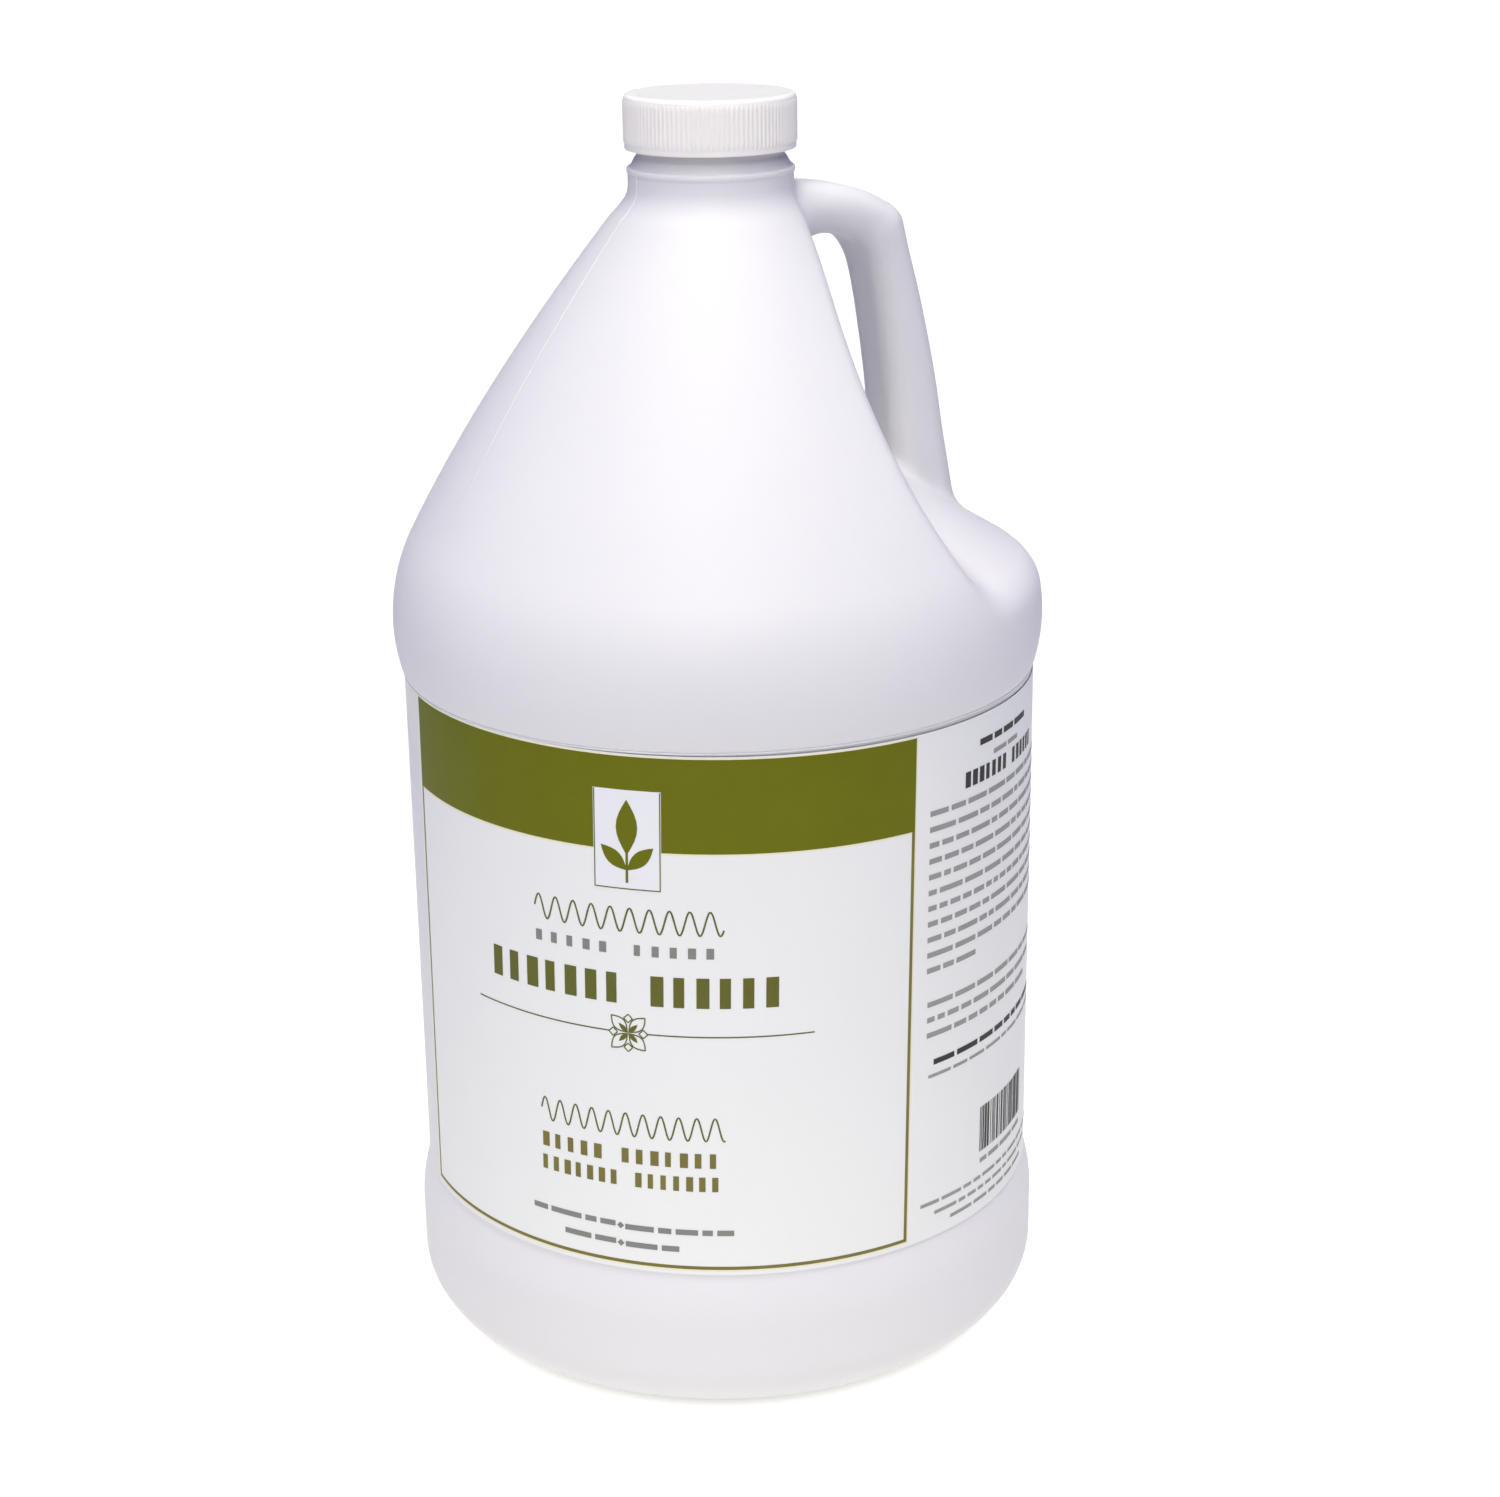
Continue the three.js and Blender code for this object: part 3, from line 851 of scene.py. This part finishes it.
def wave(left, right, low, high, length, width):
    """A thin even wave that stands for a line of light print."""
    middle, swing = (low + high) / 2, (high - low - width) / 2
    steps = int((right - left) / length * WAVE_STEPS)
    line = []
    for i in range(steps + 1):
        u = left + (right - left) * i / steps
        line.append((u, middle + swing * math.sin(2 * math.pi * (u - left) / length)))
    return stroke(line, width)


def word_bars(rng, left, right, low, high):
    """Plain bars of uneven length that stand for one line of small print."""
    made, u = [], left
    while u < right - LAST_BAR:
        length = min(rng.uniform(*BAR_LENGTHS), right - u)
        made.append(box_shape(u, u + length, low, high))
        u += length + BAR_GAP
    return made


PANEL_LEFT, PANEL_RIGHT = 2.4, 138.9  # edges of the printed front panel
BORDER_LOW = 39.4
BORDER_WIDTH = 0.85
BRIGHT_EDGE = 0.42  # pale line outside the border and the green band
BRIGHT_TOP = 0.3  # and over the band
GREEN_LOW, GREEN_HIGH = 143.2, 165.4
EMBLEM = (63.1, 78.65, 133.9, 157.4)
EMBLEM_LINE = 0.28  # width of its outline
EMBLEM_EDGE = 0.12  # how far its white panel goes beyond the outline

# lines of print on the front panel, each with its left and right end, foot and top
HEADING = (34.0, 107.65, 105.9, 113.3)
UPPER_WAVE = (47.2, 92.8, 123.4, 129.6)
LOWER_WAVE = (47.8, 93.2, 72.4, 78.6)
SMALL_BLOCKS = (47.4, 93.0, 118.0, 120.6)
GOLD_BLOCKS = ((48.0, 93.1, 65.7, 69.4), (47.9, 93.2, 59.7, 63.4))
GREY_BARS = (
    (44.9, 67.1, 48.8, 50.2), (69.5, 95.3, 48.3, 49.7),
    (53.8, 67.2, 44.2, 45.6), (69.6, 84.4, 43.8, 45.2),
)
GREY_DOTS = ((68.35, 49.2), (68.4, 44.6))
ORNAMENT = (70.75, 98.7)
RULE = (28.5, 113.75)  # the ends of the rule on each side of the ornament
RULE_GAP = 4.6
RULE_RISE = 0.1

# and on the side panel
BLACK_BARS = (160.5, 187.5, 158.6, 160.1)
BLACK_BLOCKS = (155.1, 193.7, 149.6, 153.4)
BLACK_LINE = (146.2, 201.8, 83.3, 84.7)
SIDE_HEAD = (166.7, 181.7, 155.0, 156.1)
SIDE_LINE = (144.6, 203.8, 80.2, 81.0)
TEXT_LEFT, TEXT_RIGHT = 143.4, 204.2
TEXT_HIGH = 1.3
TEXT_ROWS, TEXT_FOOT, TEXT_STEP = 11, 145.6, 3.86
TEXT_END = 162.0  # of the last row
NOTE_ROWS, NOTE_FOOT, NOTE_STEP = 3, 98.4, 3.9
NOTE_INDENT = 0.4
NOTE_SHORTER = 6
STRIPES = (164.6, 190.2, 54.0, 65.8)
STRIPE_WIDTHS = (0.3, 0.3, 0.6, 0.9)
STRIPE_GAPS = (0.35, 0.35, 0.7)
STRIPE_LINE = (164.9, 190.3, 50.9, 52.1)
FOOT_ROWS = ((143.0, 204.4), (147.6, 200.4), (153.2, 194.4))
FOOT_LOW, FOOT_STEP, FOOT_HIGH = 46.7, 2.9, 0.9


def open_frame(left, right, low, high, width):
    """A frame on three sides of a rectangle, open at the top."""
    return [
        box_shape(left, left + width, low, high),
        box_shape(right - width, right, low, high),
        box_shape(left + width, right - width, low, low + width),
    ]


def bright_edges():
    """The pale line round the border and the green band, and the one under the band."""
    w = BRIGHT_EDGE
    return [
        box_shape(PANEL_LEFT, PANEL_RIGHT, GREEN_LOW - w, GREEN_LOW),
        box_shape(PANEL_LEFT - w, PANEL_RIGHT + w, GREEN_HIGH, GREEN_HIGH + BRIGHT_TOP),
        box_shape(PANEL_LEFT - w, PANEL_LEFT, BORDER_LOW - w, GREEN_HIGH),
        box_shape(PANEL_RIGHT, PANEL_RIGHT + w, BORDER_LOW - w, GREEN_HIGH),
        box_shape(PANEL_LEFT, PANEL_RIGHT, BORDER_LOW - w, BORDER_LOW),
    ]


def front_heading(rng):
    """Heading, rule, ornament and the two rows of thin waves."""
    made = blocks(rng, *HEADING, words=[7, 6], fill=0.62)
    made.append(wave(*UPPER_WAVE, length=4.6, width=0.42))
    made.append(wave(*LOWER_WAVE, length=4.2, width=0.4))
    u, v = ORNAMENT
    rule = v + RULE_RISE
    made.append(stroke([(RULE[0], rule), (u - RULE_GAP, rule)], width=0.32))
    made.append(stroke([(u + RULE_GAP, rule), (RULE[1], rule)], width=0.32))
    for quarter in range(4):
        turn = math.pi / 4 + quarter * math.pi / 2
        made.append(petal(u, v, turn, length=3.2, width=1.1))
        foot = (u + 0.3 * math.cos(turn), v + 0.3 * math.sin(turn))
        edge = petal(*foot, turn, length=5.4, width=3.0)
        sides = (edge[:PETAL_STEPS + 1], [*edge[PETAL_STEPS:], edge[0]])
        made += [stroke(line, width=0.3) for line in sides]
        turn = quarter * math.pi / 2
        corners = diamond(u + 3.6 * math.cos(turn), v + 3.6 * math.sin(turn), reach=1.05)
        made += [stroke(line, width=0.28) for line in zip(corners, corners[1:] + corners[:1])]
    return made


def front_rows(rng):
    """The two rows of small gold blocks."""
    made = blocks(rng, *GOLD_BLOCKS[0], words=[5, 7], fill=0.52)
    return made + blocks(rng, *GOLD_BLOCKS[1], words=[7, 7], fill=0.55)


def front_ink(rng):
    """A row of small blocks and the two grey lines at the foot."""
    made = blocks(rng, *SMALL_BLOCKS, words=[5, 5], fill=0.42)
    for bar in GREY_BARS:
        made += word_bars(rng, *bar)
    return made + [diamond(*dot, reach=0.9) for dot in GREY_DOTS]


def side_ink(rng):
    """The small print and the stripes of the side panel."""
    made = word_bars(rng, *SIDE_HEAD)
    for row in range(TEXT_ROWS):
        v = TEXT_FOOT - TEXT_STEP * row
        right = TEXT_RIGHT if row < TEXT_ROWS - 1 else TEXT_END
        made += word_bars(rng, TEXT_LEFT, right, v, v + TEXT_HIGH)
    for row in range(NOTE_ROWS):
        v = NOTE_FOOT - NOTE_STEP * row
        right = TEXT_RIGHT - NOTE_SHORTER * row
        made += word_bars(rng, TEXT_LEFT + NOTE_INDENT, right, v, v + TEXT_HIGH)
    made += word_bars(rng, *SIDE_LINE)
    u, right, low, high = STRIPES
    stripes = []
    while u < right:
        width = rng.choice(STRIPE_WIDTHS)
        stripes.append(box_shape(u, u + width, low, high))
        u += width + rng.choice(STRIPE_GAPS)
    made += word_bars(rng, *STRIPE_LINE)
    for row, (left, right) in enumerate(FOOT_ROWS):
        v = FOOT_LOW - FOOT_STEP * row
        made += word_bars(rng, left, right, v, v + FOOT_HIGH)
    return made, stripes


def side_black(rng):
    """The dark heading and the dark lines of the side panel."""
    made = word_bars(rng, *BLACK_BARS)
    made += blocks(rng, *BLACK_BLOCKS, words=[7, 6], fill=0.66)
    return made + word_bars(rng, *BLACK_LINE)


def emblem_ink():
    """The emblem's outline on three sides, and a stem with three leaves."""
    left, right, low, _ = EMBLEM
    middle = (left + right) / 2
    made = open_frame(*EMBLEM, EMBLEM_LINE)
    made.append(stroke([(middle, low + 1.6), (middle, low + 9.0)], width=0.6))
    for turn in (0.75, math.pi - 0.75):
        made.append(petal(middle, low + 4.6, turn, length=8.4, width=3.4))
    made.append(petal(middle, low + 8.2, math.pi / 2, length=13.2, width=5.0))
    return made


def build_label(paper, inks):
    sheet = [box_shape(SHEET_LEFT, SHEET_RIGHT, LABEL_LOW, LABEL_HIGH)]
    points, faces = wrapped_prisms(sheet, -LABEL_THICK, 0.0)
    new_piece("label", points, faces, [paper], "jug", "wrap_label", smooth=False)
    rng = random.Random(7)
    heading, rows, ink = front_heading(rng), front_rows(rng), front_ink(rng)
    side, stripes = side_ink(rng)
    black = side_black(rng) + stripes
    left, right, low, high = EMBLEM
    edge = EMBLEM_EDGE
    panel = box_shape(left - edge, right + edge, low - edge, high + edge)
    border = open_frame(PANEL_LEFT, PANEL_RIGHT, BORDER_LOW, GREEN_LOW, BORDER_WIDTH)
    layers = [
        ("print_cream", bright_edges(), "cream", 1),
        ("print_green", [box_shape(PANEL_LEFT, PANEL_RIGHT, GREEN_LOW, GREEN_HIGH)], "green", 1),
        ("print_border", border, "gold", 1),
        ("print_olive", heading, "olive", 2),
        ("print_gold", rows, "gold", 2),
        ("print_grey", ink, "grey", 2),
        ("print_small", side, "pale_grey", 2),
        ("print_black", black, "black", 2),
        ("emblem_panel", [panel], "white", 2),
        ("emblem_leaf", emblem_ink(), "green", 3),
    ]
    for name, shapes, colour, level in layers:
        points, faces = wrapped_prisms(shapes, INK * (level - 1), INK * level)
        new_piece(name, points, faces, [inks[colour]], "jug", smooth=False)


# ---- materials
class Nodes:
    """Makes and joins the nodes of a material or a world."""

    def __init__(self, owner, shader="Principled BSDF"):
        owner.use_nodes = True
        self.owner = owner
        self.tree = owner.node_tree
        self.shader = self.tree.nodes[shader]
        self.places = self.add("ShaderNodeTexCoord").outputs

    def put(self, socket, value):
        """Joins an output to a socket, or sets the socket to a constant."""
        if isinstance(value, bpy.types.NodeSocket):
            self.tree.links.new(value, socket)
        else:
            socket.default_value = value

    def add(self, kind, inputs=None, **settings):
        node = self.tree.nodes.new(kind)
        for key, value in settings.items():
            setattr(node, key, value)
        for key, value in (inputs or {}).items():
            self.put(node.inputs[key], value)
        return node

    def noise(self, scale, detail):
        inputs = {"Scale": scale, "Detail": detail, "Vector": self.places["Object"]}
        return self.add("ShaderNodeTexNoise", inputs).outputs["Fac"]

    def math(self, operation, *values):
        return self.add("ShaderNodeMath", dict(enumerate(values)), operation=operation).outputs[0]

    def span(self, value, low, high, from_low=0.0, from_high=1.0, **settings):
        inputs = {"Value": value, "From Min": from_low, "From Max": from_high}
        inputs.update({"To Min": low, "To Max": high})
        return self.add("ShaderNodeMapRange", inputs, **settings).outputs["Result"]

    def mix(self, share, a, b):
        colours = {0: share, 6: rgba(a), 7: rgba(b)}
        return self.add("ShaderNodeMix", colours, data_type="RGBA").outputs[2]

    def bump(self, height, distance, strength, normal=None):
        inputs = {"Height": height, "Distance": distance, "Strength": strength}
        if normal is not None:
            inputs["Normal"] = normal
        return self.add("ShaderNodeBump", inputs).outputs["Normal"]

    def finish(self, **sockets):
        """Sets the shader's sockets, each named with _ for a space."""
        for key, value in sockets.items():
            self.put(self.shader.inputs[key.replace("_", " ")], value)
        return self.owner


def rgba(colour):
    return (*colour, 1.0)


def jug_plastic():
    """Natural white polyethylene: satin, a little cloudy."""
    n = Nodes(bpy.data.materials.new("jug_plastic"))
    cloud = n.noise(16.0, 3.0)
    peel = n.noise(420.0, 2.0)
    waves = n.noise(38.0, 2.0)
    normal = n.bump(waves, distance=0.0005, strength=0.35)
    return n.finish(
        Base_Color=n.mix(cloud, (0.692, 0.684, 0.674), (0.722, 0.714, 0.702)),
        Normal=n.bump(peel, distance=0.00006, strength=0.5, normal=normal),
        Roughness=n.span(n.noise(60.0, 4.0), 0.40, 0.52),
        Specular_IOR_Level=0.3, Subsurface_Weight=0.2,
        Subsurface_Radius=(0.8, 0.85, 1.0), Subsurface_Scale=0.0012)


def cap_plastic(name, dark, light):
    """Warm white polypropylene with a fine moulded grain."""
    n = Nodes(bpy.data.materials.new(name))
    return n.finish(
        Base_Color=n.mix(n.noise(30.0, 3.0), dark, light),
        Normal=n.bump(n.noise(3500.0, 2.0), distance=0.00001, strength=0.5),
        Roughness=n.span(n.noise(120.0, 3.0), 0.46, 0.6),
        Subsurface_Weight=0.2, Subsurface_Radius=(1.0, 0.9, 0.75), Subsurface_Scale=0.002)


def liner_foam():
    """White foam of fine closed cells."""
    n = Nodes(bpy.data.materials.new("liner_foam"))
    cells = n.add("ShaderNodeTexVoronoi", {"Scale": 2200.0, "Vector": n.places["Object"]})
    cells = cells.outputs["Distance"]
    return n.finish(
        Base_Color=n.mix(cells, (0.80, 0.80, 0.78), (0.86, 0.86, 0.84)),
        Normal=n.bump(cells, distance=0.0002, strength=0.6), Roughness=0.85)


def label_paper():
    """White film with a faint tooth and a soft gloss."""
    n = Nodes(bpy.data.materials.new("label_paper"))
    tooth = n.bump(n.noise(900.0, 3.0), distance=0.00003, strength=0.4)
    return n.finish(
        Base_Color=n.mix(n.noise(24.0, 4.0), (0.755, 0.765, 0.725), (0.785, 0.793, 0.753)),
        Normal=n.bump(n.noise(18.0, 2.0), distance=0.0004, strength=0.25, normal=tooth),
        Roughness=n.span(n.noise(70.0, 3.0), 0.38, 0.50), Specular_IOR_Level=0.3)


def print_ink(name, dark, light, low=0.45, high=0.58):
    """A flat printed colour whose cover is slightly uneven."""
    n = Nodes(bpy.data.materials.new(name))
    return n.finish(
        Base_Color=n.mix(n.noise(140.0, 4.0), dark, light),
        Normal=n.bump(n.noise(900.0, 3.0), distance=0.00003, strength=0.4),
        Roughness=n.span(n.noise(70.0, 3.0), low, high), Specular_IOR_Level=0.1)


# ---- the object
INKS = {
    "green": ((0.125, 0.136, 0.003), (0.142, 0.153, 0.005)),
    "gold": ((0.15, 0.13, 0.032), (0.21, 0.185, 0.05), 0.35, 0.45),
    "olive": ((0.105, 0.108, 0.02), (0.135, 0.138, 0.028)),
    "pale_grey": ((0.27, 0.265, 0.245), (0.34, 0.335, 0.31)),
    "grey": ((0.20, 0.195, 0.175), (0.25, 0.245, 0.22)),
    "black": ((0.035, 0.034, 0.030), (0.055, 0.053, 0.048)),
    "cream": ((0.74, 0.71, 0.49), (0.78, 0.75, 0.54)),
    "white": ((0.75, 0.755, 0.75), (0.78, 0.785, 0.78)),
}
plastic = jug_plastic()
build_jug(plastic)
build_seam(plastic)
cap_side = cap_plastic("cap_plastic", (0.85, 0.817, 0.745), (0.875, 0.842, 0.77))
# a darker copy of the cap plastic for its top: painted shade, not a different plastic
cap_top_painted_shade = cap_plastic("cap_top_painted_shade", (0.695, 0.685, 0.63), (0.715, 0.705, 0.65))
build_cap(cap_side, cap_top_painted_shade)
build_liner(liner_foam())
build_label(label_paper(), {name: print_ink("ink_" + name, *look) for name, look in INKS.items()})


# ---- stage, light and camera, in metres
FLOOR_PAINTED_SHADOW_EDGE = (0.061, 0.074)  # distances from the axis between which its painted glow sets in; inside them it stays dark, a painted contact shadow round the base
FLOOR_FADE = (0.3, 0.8)  # and between which the painted glow dies down again and turns bluer
FLOOR_PAINTED_GLOW = 1.0
FLOOR_FAR_PAINTED_GLOW = 0.35
FLOOR_HALF = 3.0
FLOOR_DROP, BACKDROP_DROP = 0.0002, 0.0001  # how far they lie under the base
BACKDROP_SIDES = 96
BACKDROP_PROFILE = (
    (0.32, 0.0), (1.0, 0.0), (5.0, 0.0), (7.0, 0.0), (8.4, 0.6), (9.0, 2.0), (9.0, 12.0),
)
LIGHT_AIM = (0, 0, 0.16)
LIGHT_COLOUR = (1.0, 0.98, 0.895)
SKY_LOW = 0.16
SKY_HIGH = 0.37
SKY_FULL = 0.9  # sine of the angle of height at which it is brightest
SKY_SIDE = (-0.787, -0.616, 0.0)  # the side the light leans to
SKY_LEAN = 0.1
SKY_COLOUR = (0.66, 0.67, 1.36)


def stage_piece(name, points, faces, material):
    mesh = bpy.data.meshes.new(name)
    mesh.from_pydata(points, [], faces)
    piece = mesh_object(name, mesh, [material], False)
    return piece


def floor():
    """A pale floor with a painted glow round the object that stands in for lamp light on it, with a
    painted contact shadow at the base where the glow is missing.
    """
    half = FLOOR_HALF
    points = [(-half, -half, 0), (half, -half, 0), (half, half, 0), (-half, half, 0)]
    n = Nodes(bpy.data.materials.new("floor"))
    away = n.add("ShaderNodeVectorMath", {0: n.places["Object"]}, operation="LENGTH")
    away = away.outputs["Value"]
    # painted glow: none at the base (painted contact shadow), full round the object, dimmer and
    # bluer far off
    near = n.span(away, 0.0, FLOOR_PAINTED_GLOW, *FLOOR_PAINTED_SHADOW_EDGE)
    fade = n.span(away, 1.0, FLOOR_FAR_PAINTED_GLOW, *FLOOR_FADE)
    distant = n.span(away, 0.0, 1.0, *FLOOR_FADE)
    material = n.finish(
        Base_Color=rgba((0.20, 0.20, 0.20)), Roughness=0.9,
        Emission_Color=n.mix(distant, (1.0, 0.985, 0.95), (0.72, 0.75, 1.15)),
        Emission_Strength=n.math("MULTIPLY", near, fade))
    plane = stage_piece("floor", points, [(0, 1, 2, 3)], material)
    plane.location.z = -FLOOR_DROP


def backdrop():
    """A plain white sweep round the floor. Only the camera sees it: it sheds no light."""
    points, faces = lathe(BACKDROP_PROFILE, BACKDROP_SIDES)
    n = Nodes(bpy.data.materials.new("backdrop"))
    material = n.finish(
        Base_Color=rgba((0.0, 0.0, 0.0)), Roughness=1.0, Emission_Color=rgba((1.0, 1.0, 1.0)),
        Emission_Strength=n.span(n.noise(3.0, 2.0), 1.05, 1.08))
    sweep = stage_piece("backdrop", points.tolist(), faces, material)
    sweep.location.z = -BACKDROP_DROP
    sweep.visible_diffuse = False
    sweep.visible_glossy = False
    sweep.visible_transmission = False
    sweep.visible_shadow = False


def area_light(name, place, size, power):
    data = bpy.data.lights.new(name, "AREA")
    data.shape = "RECTANGLE"
    data.size, data.size_y = size
    data.energy = power
    data.color = LIGHT_COLOUR
    lamp = new_object(name, data)
    lamp.location = place
    lamp.rotation_euler = (Vector(LIGHT_AIM) - Vector(place)).to_track_quat("-Z", "Y").to_euler()


def world_light():
    """A plain sky, bright overhead, dimmer towards the horizon and brighter on one side."""
    world = bpy.data.worlds.new("studio")
    bpy.context.scene.world = world
    n = Nodes(world, "Background")
    way = n.places["Generated"]
    height = n.add("ShaderNodeSeparateXYZ", {0: way}).outputs["Z"]
    rise = n.span(height, SKY_LOW, SKY_HIGH, 0.0, SKY_FULL, interpolation_type="SMOOTHSTEP")
    lean = n.add("ShaderNodeVectorMath", {0: way, 1: SKY_SIDE}, operation="DOT_PRODUCT")
    side = n.math("MULTIPLY_ADD", lean.outputs["Value"], SKY_LEAN, 1.0)
    n.finish(Color=rgba(SKY_COLOUR), Strength=n.math("MULTIPLY", rise, side))


CAMERA_PLACE = Vector((-0.3097, -0.5858, 0.3691))
CAMERA_FORWARD = Vector((0.4513, 0.8311, -0.3249)).normalized()
CAMERA_ROLL = math.radians(-0.72)


def camera():
    """The photograph's camera, slightly rolled."""
    data = bpy.data.cameras.new("camera")
    data.lens = 68.03
    data.sensor_width = 36.0
    data.clip_start = 0.05
    data.clip_end = 60.0
    eye = new_object("camera", data)
    level = CAMERA_FORWARD.cross(Vector((0, 0, 1))).normalized()
    up = level.cross(CAMERA_FORWARD)
    right = level * math.cos(CAMERA_ROLL) + up * math.sin(CAMERA_ROLL)
    up = right.cross(CAMERA_FORWARD)
    turn = Matrix((right, up, -CAMERA_FORWARD)).transposed().to_4x4()
    eye.matrix_world = Matrix.Translation(CAMERA_PLACE) @ turn
    bpy.context.scene.camera = eye


floor()
backdrop()
world_light()
area_light("overhead", place=(-0.27, -0.52, 4.2), size=(3.0, 3.0), power=182.0)
area_light("front", place=(-0.84, -1.3, 1.2), size=(0.8, 1.2), power=14.5)
camera()
bpy.context.scene.view_settings.view_transform = "Standard"
